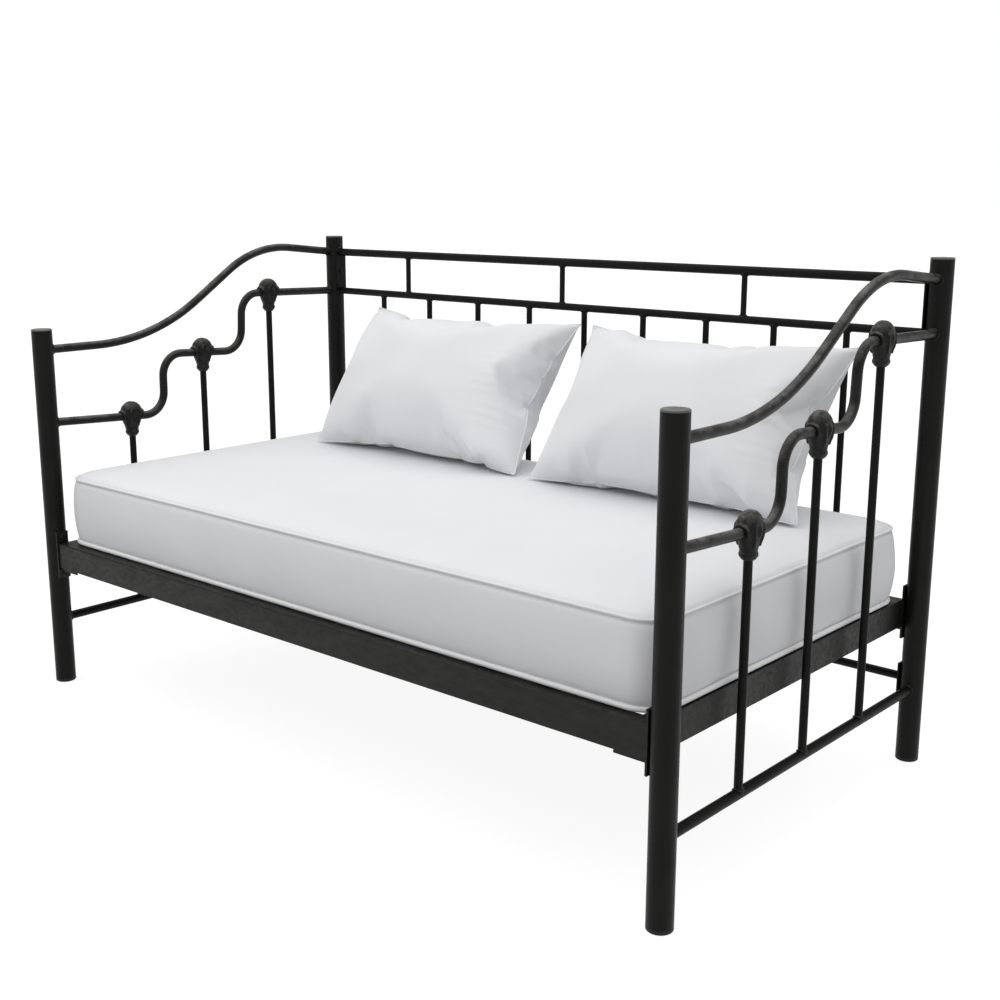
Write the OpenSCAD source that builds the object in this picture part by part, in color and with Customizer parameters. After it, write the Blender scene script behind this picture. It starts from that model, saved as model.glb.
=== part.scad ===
// Daybed: four round posts, two swept ends, a spindle back, an angle-iron deck,
// a mattress and two pillows. Origin at the middle of the footprint, on the floor.
// +X runs along the length, -Y is the open front, +Z is up. Sizes in millimetres.

/* [Posts] */
// Distance between the post axes along the length
span_x = 1980; // [1500:1:2200]
// Distance between the post axes from front to back
span_y = 1033; // [860:1:1300]
// Height of the front posts, caps and glides included
front_post_h = 966; // [800:1:1160]
// Height of the rear posts, caps and glides included
rear_post_h = 1180; // [980:1:1420]
// Outer diameter of the posts
post_d = 53; // [44:0.5:64]
// Wall of the post tube
post_wall = 1.5; // [1:0.1:3]
// Height of the visible head of a post cap
cap_head_h = 4; // [2:0.5:8]
// Height of the visible foot of a glide
glide_foot_h = 9; // [5:0.5:16]
// Length of the plug of a cap or glide inside the post
plug_h = 22; // [12:1:40]

/* [End rails] */
// Outer diameter of the arm rails and the wave rails
rail_d = 22.5; // [18:0.5:27]
// Wall of the rail tube
rail_wall = 1.5; // [1:0.1:2.5]
// Drop from the top of a front post to the arm rail's axis
arm_front_drop = 55; // [40:1:90]
// Level stretch of the arm rail behind the front post's axis
arm_lead = 162; // [80:1:200]
// Length of the straight tail of the arm rail, ahead of the rear post's axis
arm_tail = 186; // [120:1:200]
// Downward slope of the arm rail's tail, degrees
arm_fall = 5.7; // [3:0.1:7]
// Share of the two bends' radii that belongs to the lower bend of the arm rail
arm_low_share = 0.635; // [0.4:0.005:0.7]
// Tightness of the arm rail's bends: 1 leaves no straight stretch between them
arm_bend_share = 0.96; // [0.6:0.01:0.97]
// Drop from the top of a front post to the wave rail's axis
wave_front_drop = 248; // [200:1:300]
// Length of one step of the wave rail, front to back
wave_step_len = 129; // [129:1:150]
// Bend radius of the wave rail
wave_bend_r = 61; // [45:1:61]
// Downward slope of the wave rail through the front and middle castings, degrees
wave_fall = 3; // [1:0.5:3]
// Downward slope of the wave rail behind its last step, degrees
wave_tail_fall = 1.5; // [0.5:0.5:3]
// Where each step starts, as a share of the free length between two castings
wave_step_shares = [0.24, 0.86]; // [0:0.01:1]
// First step's share of the wave rail's rise, as a multiple of the arm rail's share up to the middle spindle
wave_climb_ratio = 1.096; // [1:0.001:1.2]
// Height of the end crossbars above the floor
crossbar_z = 178; // [120:1:260]

/* [End spindles and castings] */
// Place of the front spindle and casting, as a share of the distance between the post axes
front_spindle_share = 0.25; // [0.23:0.001:0.27]
// Place of the middle spindle and casting, as the same kind of share
middle_spindle_share = 0.493; // [0.48:0.001:0.51]
// Place of the rear spindle and casting, as the same kind of share
rear_spindle_share = 0.737; // [0.72:0.001:0.77]
// Diameter of the end spindles
end_spindle_d = 18; // [12:0.5:20]
// Length of a casting along the rail
casting_len = 69; // [56:1:76]
// Width of a casting across the rail
casting_w = 54; // [44:1:64]
// Height of the casting above the rail's axis
casting_up = 42; // [36:1:54]
// Depth of the casting below the rail's axis, to the collar's underside
casting_down = 55; // [48:1:70]
// Outer diameter of the casting's collar
collar_d = 40; // [34:1:46]
// Height of the casting's collar
collar_h = 16; // [12:1:20]
// Height of the casting's collar above its lower chamfer
collar_chamfer = 5; // [3:0.5:8]

/* [Back panel] */
// Drop from the top of a rear post to the back's top rail
back_top_drop = 49; // [40:1:80]
// Distance between the axes of the top and middle rails
back_gap = 119; // [90:1:170]
// Height of the back's bottom rail above the floor
back_bottom_z = 201; // [150:1:260]
// Outer diameter of the middle and bottom rails
back_rail_d = 20; // [16:0.5:24]
// Number of long spindles
back_spindle_count = 9; // [9]
// Diameter of the long spindles
back_spindle_d = 16; // [10:0.5:18]
// Diameter of the short spindles
short_spindle_d = 14.5; // [8:0.5:18]
// Places of the short spindles, as shares of the clear length between the posts
short_spindle_shares = [0.155, 0.46, 0.755]; // [0.05:0.005:0.95]
// Wall of the spindle tube
spindle_wall = 1; // [0.8:0.1:2]
// Width of the end plates of the back
end_plate_w = 36; // [30:1:44]
// Thickness of the end plates of the back
end_plate_t = 4; // [3:0.5:6]
// Height of the lower end plates
lower_plate_h = 72; // [68:1:90]
// Distance from the bottom rail's axis to each bolt of a lower end plate
lower_bolt_reach = 23; // [20:0.5:26]

/* [Deck] */
// Height of the deck's upper face above the floor
deck_z = 394; // [330:1:470]
// Height of the upright leg of the deck angles
deck_leg_h = 66; // [40:1:72]
// Width of the flat leg of the deck angles
deck_leg_w = 38; // [25:1:50]
// Thickness of the deck angles
deck_t = 3; // [2:0.5:4]
// Distance of the front rail's face ahead of the front posts' axes
deck_front_out = 13; // [6:1:15]
// Clear distance between the rear rail's face and the back spindles
deck_rear_clear = 5.5; // [2:0.5:12]
// Width of the corner brackets
bracket_w = 34; // [32:1:40]
// Thickness of the corner brackets
bracket_t = 5; // [3:0.5:8]
// Height of the corner brackets
bracket_h = 128; // [120:1:160]
// Rise of the corner brackets above the deck
bracket_rise = 32; // [28:1:40]
// Distance from a bracket's end to its bolt
bracket_bolt_in = 12; // [12:0.5:14]
// Length of a corner gusset along the front or rear rail
gusset_len = 75; // [50:1:110]
// Drop of a gusset below the rail
gusset_drop = 8; // [2:1:14]
// Number of slats
slat_count = 12; // [8:1:14]
// Width of a slat
slat_w = 40; // [25:1:50]
// Height of a slat
slat_h = 15; // [10:1:20]
// Wall of a slat
slat_wall = 1.2; // [1:0.1:2]

/* [Fasteners] */
// Diameter of the bolts
bolt_d = 8; // [6:1:8]
// Length of the bolts under the head
bolt_len = 22; // [20:1:26]
// Diameter of the bolt heads
bolt_head_d = 14; // [12:0.5:16]
// Height of the bolt heads
bolt_head_h = 5; // [4:0.5:6]
// Width across flats of the driving socket in the bolt heads
bolt_socket = 5; // [4:0.5:5]
// Outer diameter of the threaded inserts
insert_d = 11; // [10:0.5:12]
// Length of the threaded inserts
insert_len = 16; // [12:1:18]

/* [Mattress and pillows] */
// Clear distance from the mattress's ends to the inner faces of the corner brackets
mattress_end_clear = 6; // [2:0.5:30]
// Distance of the mattress's front behind the front rail's face
mattress_front_set = 33.5; // [20:0.5:60]
// Clear distance from the mattress's back to the back spindles
mattress_rear_clear = 26.5; // [10:0.5:60]
// Thickness of the mattress at its middle
mattress_t = 204; // [150:1:240]
// Corner radius of the mattress in plan
mattress_corner_r = 60; // [40:1:90]
// Distance of the left pillow in from the mattress's left end
pillow_left_in = 205; // [40:1:260]
// Distance of the right pillow in from the mattress's right end
pillow_right_in = 120; // [40:1:260]
// Gap between the two pillows
pillow_gap = 40; // [20:1:200]
// Height of a pillow along its slope
pillow_h = 450; // [380:1:500]
// Thickness of a pillow at its middle
pillow_t = 160; // [120:1:190]
// Thickness of a pillow at its seam
pillow_edge_t = 16; // [10:1:24]
// Lean of the pillows from upright, degrees
pillow_lean = 35; // [25:1:45]
// Clear distance from the pillows' top edge to the back spindles
pillow_back_clear = 30; // [20:1:90]

/* [Clearances] */
// Gap left for the weld where one tube meets another
weld_gap = 0.1; // [0.05:0.05:0.3]
// Radial clearance of a rail or spindle in a casting
casting_fit = 0.15; // [0.1:0.05:0.4]
// Radial clearance of a plug, bolt or insert in its hole
plug_fit = 0.1; // [0.05:0.05:0.3]
// Clear height between soft pieces and what they lie on
rest_gap = 0.4; // [0.3:0.1:1]

/* [Hidden] */
$fn = 64;
metal = "#26241f";
cast_metal = "#2b2925";
plastic = "#151515";
zinc = "#6f6f6c";
cloth = "#e9eaec";
cut = 1;
bend_seam = 0.05;
bend_joint = 2;
bend_fn = 180;
lens_fn = 360;
dome_step = 7.5;
collar_lip = 1;
half_x = span_x / 2;
half_y = span_y / 2;
post_r = post_d / 2;
post_inner_d = post_d - 2 * post_wall;
rail_r = rail_d / 2;
back_rail_r = back_rail_d / 2;
face_x = half_x - post_r;

arm_front_z = front_post_h - arm_front_drop;
back_top_z = rear_post_h - back_top_drop;
back_mid_z = back_top_z - back_gap;
wave_front_z = front_post_h - wave_front_drop;

end_spindle_us = span_y * [front_spindle_share, middle_spindle_share, rear_spindle_share];
step_starts = [for (i = [0:1])
    let (room = end_spindle_us[i + 1] - end_spindle_us[i] - wave_step_len - casting_len)
    end_spindle_us[i] + casting_len / 2 + wave_step_shares[i] * room];
first_fall = step_starts[0] * tan(wave_fall);
middle_fall = (step_starts[1] - step_starts[0] - wave_step_len) * tan(wave_fall);
tail_fall = (span_y - step_starts[1] - wave_step_len) * tan(wave_tail_fall);

arm_foot = [arm_lead, arm_front_z];
arm_head = [span_y - arm_tail * cos(arm_fall), back_top_z + arm_tail * sin(arm_fall)];
arm_axis = arm_low_share * left_of(0) + (1 - arm_low_share) * left_of(-arm_fall);
arm_radii = arm_bend_share * bend_radii(arm_head - arm_foot, arm_axis);
arm_low_r = arm_low_share * arm_radii;
arm_high_r = arm_radii - arm_low_r;
arm_middle_climb = arc_climb(arm_low_r, end_spindle_us[1] - arm_lead) / (arm_head[1] - arm_front_z);

wave_rise = back_mid_z - wave_front_z + first_fall + middle_fall + tail_fall;
first_rise = wave_rise * wave_climb_ratio * arm_middle_climb;
step_rises = [first_rise, wave_rise - first_rise];
step_foots = [
    [step_starts[0], wave_front_z - first_fall],
    [step_starts[1], wave_front_z - first_fall + first_rise - middle_fall]
];
step_heads = [for (i = [0:1]) step_foots[i] + [wave_step_len, step_rises[i]]];
casting_falls = [wave_fall, wave_fall, wave_tail_fall];
casting_anchors = [step_foots[0], step_foots[1], step_heads[1]];
casting_zs = [for (i = [0:2])
    casting_anchors[i][1] + (casting_anchors[i][0] - end_spindle_us[i]) * tan(casting_falls[i])];
casting_waist = casting_down - collar_h;

front_rail_y = -half_y - deck_front_out;
rear_rail_y = half_y - back_spindle_d / 2 - deck_rear_clear;
deck_end_x = face_x - bracket_t;
bracket_top = deck_z + bracket_rise;
bracket_bolt_zs = [bracket_top - bracket_bolt_in, bracket_top - bracket_h + bracket_bolt_in];
upper_bolt_z = back_top_z - back_gap / 2;
lower_bolt_zs = [back_bottom_z - lower_bolt_reach, back_bottom_z + lower_bolt_reach];
clear_x = span_x - post_d;
mattress_l = 2 * (deck_end_x - mattress_end_clear);
mattress_front_y = front_rail_y + mattress_front_set;
mattress_rear_y = half_y - back_spindle_d / 2 - mattress_rear_clear;
mattress_w = mattress_rear_y - mattress_front_y;
mattress_z = deck_z + rest_gap;
mattress_top = mattress_z + mattress_t;
pillow_w = (mattress_l - pillow_left_in - pillow_right_in - pillow_gap) / 2;
pillow_left_x = pillow_left_in + (pillow_w - mattress_l) / 2;
pillow_right_x = (mattress_l - pillow_w) / 2 - pillow_right_in;
bolt_crown_d = 0.7 * bolt_head_d;

// ---- helpers -------------------------------------------------------------

// Unit vector to the left of a heading, in the plane of a bent rail
function left_of(a) = [-sin(a), cos(a)];

// Sum of the radii of two tangent bends that turn up and back down over the step e, with no
// straight stretch between them; v is the mean of their axes' directions, weighted by the shares
function bend_radii(e, v) = (e * e) / (e * v + sqrt(pow(e * v, 2) + (1 - v * v) * (e * e)));

// Height that an arc of radius r, level at its start, has gained after a run
function arc_climb(r, run) = r - sqrt(r * r - run * run);

// Two tangent arcs, a left turn and then a right turn, from p at heading a to q at heading b.
// Gives the two centres and the heading of the straight stretch between them.
function s_bend(p, a, q, b, r1, r2) =
    let (c1 = p + r1 * left_of(a))
    let (c2 = q - r2 * left_of(b))
    let (d = c2 - c1)
    let (run = sqrt(max(0, d * d - pow(r1 + r2, 2))))
    [c1, c2, atan2(d[1], d[0]) + atan2(r1 + r2, run)];

module ring(d, wall) {
    difference() {
        circle(d = d);
        circle(d = d - 2 * wall);
    }
}

// Straight stretch of tube between two points of the bending plane, a hairline short at both ends
module straight_tube(p, q, d, wall) {
    v = q - p;
    translate([p[0], p[1], 0]) rotate([0, 0, atan2(v[1], v[0])]) translate([bend_seam, 0, 0])
        rotate([0, 90, 0]) linear_extrude(norm(v) - 2 * bend_seam) ring(d, wall);
}

// Arc of tube about centre c, swept through a positive angle from the polar angle a
module arc_tube(c, r, a, sweep, d, wall) {
    translate([c[0], c[1], 0]) rotate([0, 0, a])
        rotate_extrude(angle = sweep, $fn = bend_fn) translate([r, 0]) ring(d, wall);
}

// Left turn followed by a right turn, with the straight stretch between them
module s_bend_tube(p, a, q, b, r1, r2, d, wall) {
    bend = s_bend(p, a, q, b, r1, r2);
    steep = bend[2];
    run_start = bend[0] - r1 * left_of(steep);
    run_end = bend[1] + r2 * left_of(steep);
    arc_tube(bend[0], r1, a - 90, steep - a, d, wall);
    straight_tube(run_start, run_end, d, wall);
    arc_tube(bend[1], r2, b + 90, steep - b, d, wall);
    wall_joint(p, a, d, wall);
    wall_joint(run_start, steep, d, wall);
    wall_joint(run_end, steep, d, wall);
    wall_joint(q, b, d, wall);
}

// Hidden ring in the middle third of the wall, which joins two stretches of one tube
module wall_joint(p, a, d, wall) {
    translate([p[0], p[1], 0]) rotate([0, 0, a]) rotate([0, 90, 0])
        linear_extrude(2 * bend_joint, center = true) ring(d - 2 * wall / 3, wall / 3);
}

// Stands the bending plane upright on one end: its first axis runs from the front
// post's axis to the rear post's axis, its second axis is the height
module on_end(side) {
    translate([side * half_x, -half_y, 0]) rotate([90, 0, 90]) children();
}

module at_posts() {
    for (sx = [-1, 1], sy = [-1, 1]) translate([sx * half_x, sy * half_y, 0]) children();
}

function post_top(sy) = sy < 0 ? front_post_h : rear_post_h;

// Solid the size of the posts of one end, for cutting tubes that meet them
module post_cutters() {
    for (sx = [-1, 1], sy = [-1, 1])
        translate([sx * half_x, sy * half_y, -cut])
            cylinder(r = post_r + weld_gap, h = rear_post_h + 2 * cut);
}

// Rod along X from one post to the other, for cutting what is welded to a back rail
module back_rail_cutter(z, d) {
    translate([-half_x, half_y, z]) rotate([0, 90, 0]) cylinder(d = d + 2 * weld_gap, h = span_x);
}

// Places its children at each bolt: the head's seat at the origin, the shank along +X
module at_bolts() {
    for (sx = [0, 1]) mirror([sx, 0, 0]) {
        for (y = [-half_y, half_y], z = bracket_bolt_zs)
            translate([face_x - bracket_t, y, z]) children();
        for (z = concat(lower_bolt_zs, [upper_bolt_z]))
            translate([face_x - end_plate_t, half_y, z]) children();
    }
}

module bolt_holes(d) {
    at_bolts() translate([-bolt_head_h, 0, 0]) rotate([0, 90, 0]) cylinder(d = d, h = post_r);
}

// ---- posts ---------------------------------------------------------------

module post(sx, sy) {
    color(metal) difference() {
        translate([sx * half_x, sy * half_y, glide_foot_h])
            linear_extrude(post_top(sy) - cap_head_h - glide_foot_h) ring(post_d, post_wall);
        bolt_holes(insert_d + 2 * plug_fit);
    }
}

// Turned plug: a head as wide as the post with a rounded rim, and a shank inside the tube
module post_plug(head_h, rim_r) {
    rotate_extrude() {
        square([post_r - rim_r, head_h]);
        square([post_r, head_h - rim_r]);
        translate([post_r - rim_r, head_h - rim_r]) intersection() {
            circle(r = rim_r);
            square(rim_r);
        }
        translate([0, -plug_h]) square([post_inner_d / 2 - plug_fit, plug_h + head_h / 2]);
    }
}

module post_caps() {
    color(metal) for (sx = [-1, 1], sy = [-1, 1])
        translate([sx * half_x, sy * half_y, post_top(sy) - cap_head_h])
            post_plug(cap_head_h, cap_head_h / 2);
}

module foot_glides() {
    color(plastic) at_posts() translate([0, 0, glide_foot_h]) mirror([0, 0, 1])
        post_plug(glide_foot_h, glide_foot_h / 3);
}

// ---- ends ----------------------------------------------------------------

module arm_rail(side) {
    color(metal) difference() {
        on_end(side) {
            straight_tube([0, arm_front_z], arm_foot, rail_d, rail_wall);
            s_bend_tube(arm_foot, 0, arm_head, -arm_fall, arm_low_r, arm_high_r, rail_d, rail_wall);
            straight_tube(arm_head, [span_y, back_top_z], rail_d, rail_wall);
        }
        post_cutters();
    }
}

module wave_rail(side) {
    color(metal) difference() {
        on_end(side) {
            straight_tube([0, wave_front_z], step_foots[0], rail_d, rail_wall);
            s_bend_tube(step_foots[0], -wave_fall, step_heads[0], -wave_fall,
                wave_bend_r, wave_bend_r, rail_d, rail_wall);
            straight_tube(step_heads[0], step_foots[1], rail_d, rail_wall);
            s_bend_tube(step_foots[1], -wave_fall, step_heads[1], -wave_tail_fall,
                wave_bend_r, wave_bend_r, rail_d, rail_wall);
            straight_tube(step_heads[1], [span_y, back_mid_z], rail_d, rail_wall);
        }
        post_cutters();
    }
}

// Half outline of a casting, its origin on the rail's axis: a round dome, a taper down to the
// waist, and a collar with a chamfered foot
module casting_outline() {
    dome_r = casting_len / 2;
    dome_z = casting_up - dome_r;
    collar_r = collar_d / 2;
    polygon(concat(
        [[0, -casting_down], [collar_r - collar_chamfer, -casting_down],
            [collar_r, collar_chamfer - casting_down], [collar_r, -casting_waist],
            [collar_r - collar_lip, -casting_waist], [dome_r, -rail_r / 2]],
        [for (a = [0:dome_step:90]) [dome_r * cos(a), dome_z + dome_r * sin(a)]]));
}

module casting(side, i) {
    color(cast_metal) translate([side * half_x, end_spindle_us[i] - half_y, casting_zs[i]])
        difference() {
            rotate_extrude() casting_outline();
            for (sx = [-1, 1]) translate([sx * casting_w, 0, 0])
                cube([casting_w, 2 * casting_len, 2 * casting_len], center = true);
            rotate([90 - casting_falls[i], 0, 0])
                cylinder(d = rail_d + 2 * casting_fit, h = 2 * casting_len, center = true);
            translate([0, 0, -casting_down - cut])
                cylinder(d = end_spindle_d + 2 * casting_fit, h = casting_down);
        }
}

module end_spindle(side, i) {
    top = casting_zs[i] - rail_r - casting_fit - cut;
    color(metal) difference() {
        translate([side * half_x, end_spindle_us[i] - half_y, crossbar_z])
            linear_extrude(top - crossbar_z) ring(end_spindle_d, spindle_wall);
        translate([side * half_x, -half_y, crossbar_z]) rotate([-90, 0, 0])
            cylinder(d = rail_d + 2 * weld_gap, h = span_y);
    }
}

module crossbar(side) {
    color(metal) difference() {
        on_end(side) straight_tube([0, crossbar_z], [span_y, crossbar_z], rail_d, rail_wall);
        post_cutters();
    }
}

// ---- back ----------------------------------------------------------------

module back_rail(z, d, half_len) {
    translate([-half_len, half_y, z]) rotate([0, 90, 0]) linear_extrude(2 * half_len) ring(d, rail_wall);
}

module back_top_rail() {
    color(metal) difference() {
        back_rail(back_top_z, rail_d, half_x);
        post_cutters();
    }
}

module back_middle_rail() {
    color(metal) difference() {
        back_rail(back_mid_z, back_rail_d, half_x);
        post_cutters();
    }
}

module back_bottom_rail() {
    color(metal) back_rail(back_bottom_z, back_rail_d, face_x - end_plate_t - weld_gap);
}

module back_spindle(i) {
    x = -clear_x / 2 + clear_x * i / (back_spindle_count + 1);
    color(metal) difference() {
        translate([x, half_y, back_bottom_z])
            linear_extrude(back_mid_z - back_bottom_z) ring(back_spindle_d, spindle_wall);
        back_rail_cutter(back_mid_z, back_rail_d);
        back_rail_cutter(back_bottom_z, back_rail_d);
    }
}

module short_spindle(i) {
    color(metal) difference() {
        translate([-clear_x / 2 + clear_x * short_spindle_shares[i - 1], half_y, back_mid_z])
            linear_extrude(back_gap) ring(short_spindle_d, spindle_wall);
        back_rail_cutter(back_mid_z, back_rail_d);
        back_rail_cutter(back_top_z, rail_d);
    }
}

module end_plate(sx, z, h) {
    translate([sx * (face_x - end_plate_t / 2), half_y, z + h / 2])
        cube([end_plate_t - 2 * weld_gap, end_plate_w, h], center = true);
}

module upper_end_plate(sx) {
    color(metal) difference() {
        end_plate(sx, back_mid_z, back_gap);
        back_rail_cutter(back_mid_z, back_rail_d);
        back_rail_cutter(back_top_z, rail_d);
        for (z = [back_mid_z - back_rail_r, back_top_z]) translate([sx * face_x, half_y, z + back_rail_r / 2])
            cube([2 * end_plate_t, end_plate_w + 2 * cut, back_rail_r], center = true);
        bolt_holes(bolt_d + 2 * plug_fit);
    }
}

module lower_end_plate(sx) {
    color(metal) difference() {
        end_plate(sx, back_bottom_z - lower_plate_h / 2, lower_plate_h);
        bolt_holes(bolt_d + 2 * plug_fit);
    }
}

// ---- deck ----------------------------------------------------------------

// Angle along +X with its outer corner on the X axis: upright leg down, flat leg towards +Y
module angle_bar(len) {
    rotate([90, 0, 90]) linear_extrude(len) polygon([[0, 0], [deck_leg_w, 0], [deck_leg_w, -deck_t],
        [deck_t, -deck_t], [deck_t, -deck_leg_h], [0, -deck_leg_h]]);
}

module deck_rail_front() {
    color(metal) translate([-deck_end_x + weld_gap, front_rail_y, deck_z])
        angle_bar(2 * (deck_end_x - weld_gap));
}

module deck_rail_rear() {
    color(metal) translate([deck_end_x - weld_gap, rear_rail_y, deck_z]) rotate([0, 0, 180])
        angle_bar(2 * (deck_end_x - weld_gap));
}

// The end angle's upright leg runs between the brackets; its flat leg stops at the long angles
module deck_rail_end(sx) {
    inner = half_y - bracket_w / 2 - weld_gap;
    flat_front = front_rail_y + deck_leg_w + weld_gap;
    flat_rear = rear_rail_y - deck_leg_w - weld_gap;
    color(metal) mirror([sx < 0 ? 1 : 0, 0, 0]) translate([deck_end_x, 0, deck_z]) {
        translate([0, -inner, -deck_leg_h]) cube([deck_t, 2 * inner, deck_leg_h]);
        translate([deck_t - deck_leg_w, flat_front, -deck_t])
            cube([deck_leg_w - deck_t / 2, flat_rear - flat_front, deck_t]);
    }
}

module bracket(sx, sy) {
    color(metal) difference() {
        translate([sx * (face_x - bracket_t / 2), sy * half_y, bracket_top - bracket_h / 2])
            cube([bracket_t - 2 * weld_gap, bracket_w, bracket_h], center = true);
        bolt_holes(bolt_d + 2 * plug_fit);
    }
}

// Flat plates behind the upright legs of the long angles, one at each corner
module corner_gussets() {
    plate_h = deck_leg_h - deck_t + gusset_drop - weld_gap;
    gusset_foot = deck_z - deck_leg_h - gusset_drop;
    color(metal) for (sx = [-1, 1], y = [front_rail_y + 1.5 * deck_t, rear_rail_y - 1.5 * deck_t])
        translate([sx * (deck_end_x - weld_gap - gusset_len / 2), y, gusset_foot + plate_h / 2])
            cube([gusset_len, deck_t - 2 * weld_gap, plate_h], center = true);
}

// Box-section slats flush with the deck, notched at both ends to tuck under the flat legs
module deck_slats() {
    first_y = front_rail_y + deck_t + weld_gap;
    slat_len = rear_rail_y - deck_t - weld_gap - first_y;
    notch_len = deck_leg_w - deck_t;
    room = deck_end_x - gusset_len - slat_w;
    color(metal) for (i = [0:slat_count - 1])
        translate([-room + 2 * room * i / (slat_count - 1), first_y, deck_z]) difference() {
            translate([0, 0, -slat_h / 2]) rotate([-90, 0, 0]) linear_extrude(slat_len) difference() {
                square([slat_w, slat_h], center = true);
                square([slat_w - 2 * slat_wall, slat_h - 2 * slat_wall], center = true);
            }
            for (y = [notch_len / 2, slat_len - notch_len / 2]) translate([0, y, 0])
                cube([slat_w + 2 * cut, notch_len + 2 * weld_gap, 2 * (deck_t + weld_gap)], center = true);
        }
}

// ---- fasteners -----------------------------------------------------------

module bolts() {
    color(metal) at_bolts() rotate([0, 90, 0]) difference() {
        union() {
            translate([0, 0, -bolt_head_h])
                cylinder(d1 = bolt_crown_d, d2 = bolt_head_d, h = bolt_head_h / 2);
            translate([0, 0, -bolt_head_h / 2]) cylinder(d = bolt_head_d, h = bolt_head_h / 2);
            cylinder(d = bolt_d - 2 * plug_fit, h = bolt_len);
        }
        translate([0, 0, -bolt_head_h - cut])
            cylinder(d = bolt_socket / cos(30), h = bolt_head_h / 2 + cut, $fn = 6);
    }
}

module threaded_inserts() {
    color(zinc) for (sx = [0, 1]) mirror([sx, 0, 0]) {
        for (y = [-half_y, half_y], z = bracket_bolt_zs) translate([face_x, y, z]) insert();
        for (z = concat(lower_bolt_zs, [upper_bolt_z])) translate([face_x, half_y, z]) insert();
    }
}

module insert() {
    translate([weld_gap, 0, 0]) rotate([0, 90, 0]) linear_extrude(insert_len) difference() {
        circle(d = insert_d);
        circle(d = bolt_d);
    }
}

// ---- soft pieces ---------------------------------------------------------

module mattress() {
    corner_x = mattress_l / 2 - mattress_corner_r;
    corner_y = mattress_w / 2 - mattress_corner_r;
    middle_y = (mattress_front_y + mattress_rear_y) / 2;
    color(cloth) translate([0, middle_y, mattress_z]) linear_extrude(mattress_t) {
        square([mattress_l, 2 * corner_y], center = true);
        square([2 * corner_x, mattress_w], center = true);
        for (sx = [-1, 1], sy = [-1, 1])
            translate([sx * corner_x, sy * corner_y]) circle(r = mattress_corner_r);
    }
}

// Lens between two arcs, with blunt ends: a chord, a thickness at the middle and one at the ends
module lens(chord, thick, edge) {
    sag = (thick - edge) / 2;
    arc_r = (pow(chord / 2, 2) + sag * sag) / (2 * sag);
    intersection() {
        square([chord, thick], center = true);
        translate([0, arc_r - thick / 2]) circle(r = arc_r, $fn = lens_fn);
        translate([0, thick / 2 - arc_r]) circle(r = arc_r, $fn = lens_fn);
    }
}

// Pillow crowned both ways, leaning back on its lower seam
module pillow(x) {
    edge_r = pillow_edge_t / 2;
    top_y = half_y - back_spindle_d / 2 - pillow_back_clear - edge_r * cos(pillow_lean);
    foot_z = mattress_top + rest_gap + edge_r * sin(pillow_lean);
    translate([x, top_y - pillow_h * sin(pillow_lean), foot_z]) rotate([-pillow_lean, 0, 0])
        color(cloth) intersection() {
            linear_extrude(pillow_h) lens(pillow_w, pillow_t, pillow_edge_t);
            translate([0, 0, pillow_h / 2]) rotate([90, 0, 90])
                linear_extrude(pillow_w, center = true) rotate(90) lens(pillow_h, pillow_t, pillow_edge_t);
        }
}

// ---- nodes ---------------------------------------------------------------

post(-1, -1);  // post_front_left
post(1, -1);  // post_front_right
post(-1, 1);  // post_rear_left
post(1, 1);  // post_rear_right
post_caps();
foot_glides();
arm_rail(-1);  // arm_rail_left
arm_rail(1);  // arm_rail_right
wave_rail(-1);  // wave_rail_left
wave_rail(1);  // wave_rail_right
casting(-1, 0);  // casting_left_1
casting(-1, 1);  // casting_left_2
casting(-1, 2);  // casting_left_3
casting(1, 0);  // casting_right_1
casting(1, 1);  // casting_right_2
casting(1, 2);  // casting_right_3
end_spindle(-1, 0);  // end_spindle_left_1
end_spindle(-1, 1);  // end_spindle_left_2
end_spindle(-1, 2);  // end_spindle_left_3
end_spindle(1, 0);  // end_spindle_right_1
end_spindle(1, 1);  // end_spindle_right_2
end_spindle(1, 2);  // end_spindle_right_3
crossbar(-1);  // crossbar_left
crossbar(1);  // crossbar_right
back_top_rail();
back_middle_rail();
back_bottom_rail();
back_spindle(1);  // back_spindle_1
back_spindle(2);  // back_spindle_2
back_spindle(3);  // back_spindle_3
back_spindle(4);  // back_spindle_4
back_spindle(5);  // back_spindle_5
back_spindle(6);  // back_spindle_6
back_spindle(7);  // back_spindle_7
back_spindle(8);  // back_spindle_8
back_spindle(9);  // back_spindle_9
short_spindle(1);  // short_spindle_1
short_spindle(2);  // short_spindle_2
short_spindle(3);  // short_spindle_3
upper_end_plate(-1);  // upper_end_plate_left
upper_end_plate(1);  // upper_end_plate_right
lower_end_plate(-1);  // lower_end_plate_left
lower_end_plate(1);  // lower_end_plate_right
deck_rail_front();
deck_rail_rear();
deck_rail_end(-1);  // deck_rail_left
deck_rail_end(1);  // deck_rail_right
bracket(-1, -1);  // bracket_front_left
bracket(1, -1);  // bracket_front_right
bracket(-1, 1);  // bracket_rear_left
bracket(1, 1);  // bracket_rear_right
corner_gussets();
deck_slats();
bolts();
threaded_inserts();
mattress();
pillow(pillow_left_x);  // pillow_left
pillow(pillow_right_x);  // pillow_right
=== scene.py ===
import math

import bmesh
import bpy
import numpy as np
from mathutils import Matrix, Vector, noise


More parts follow.
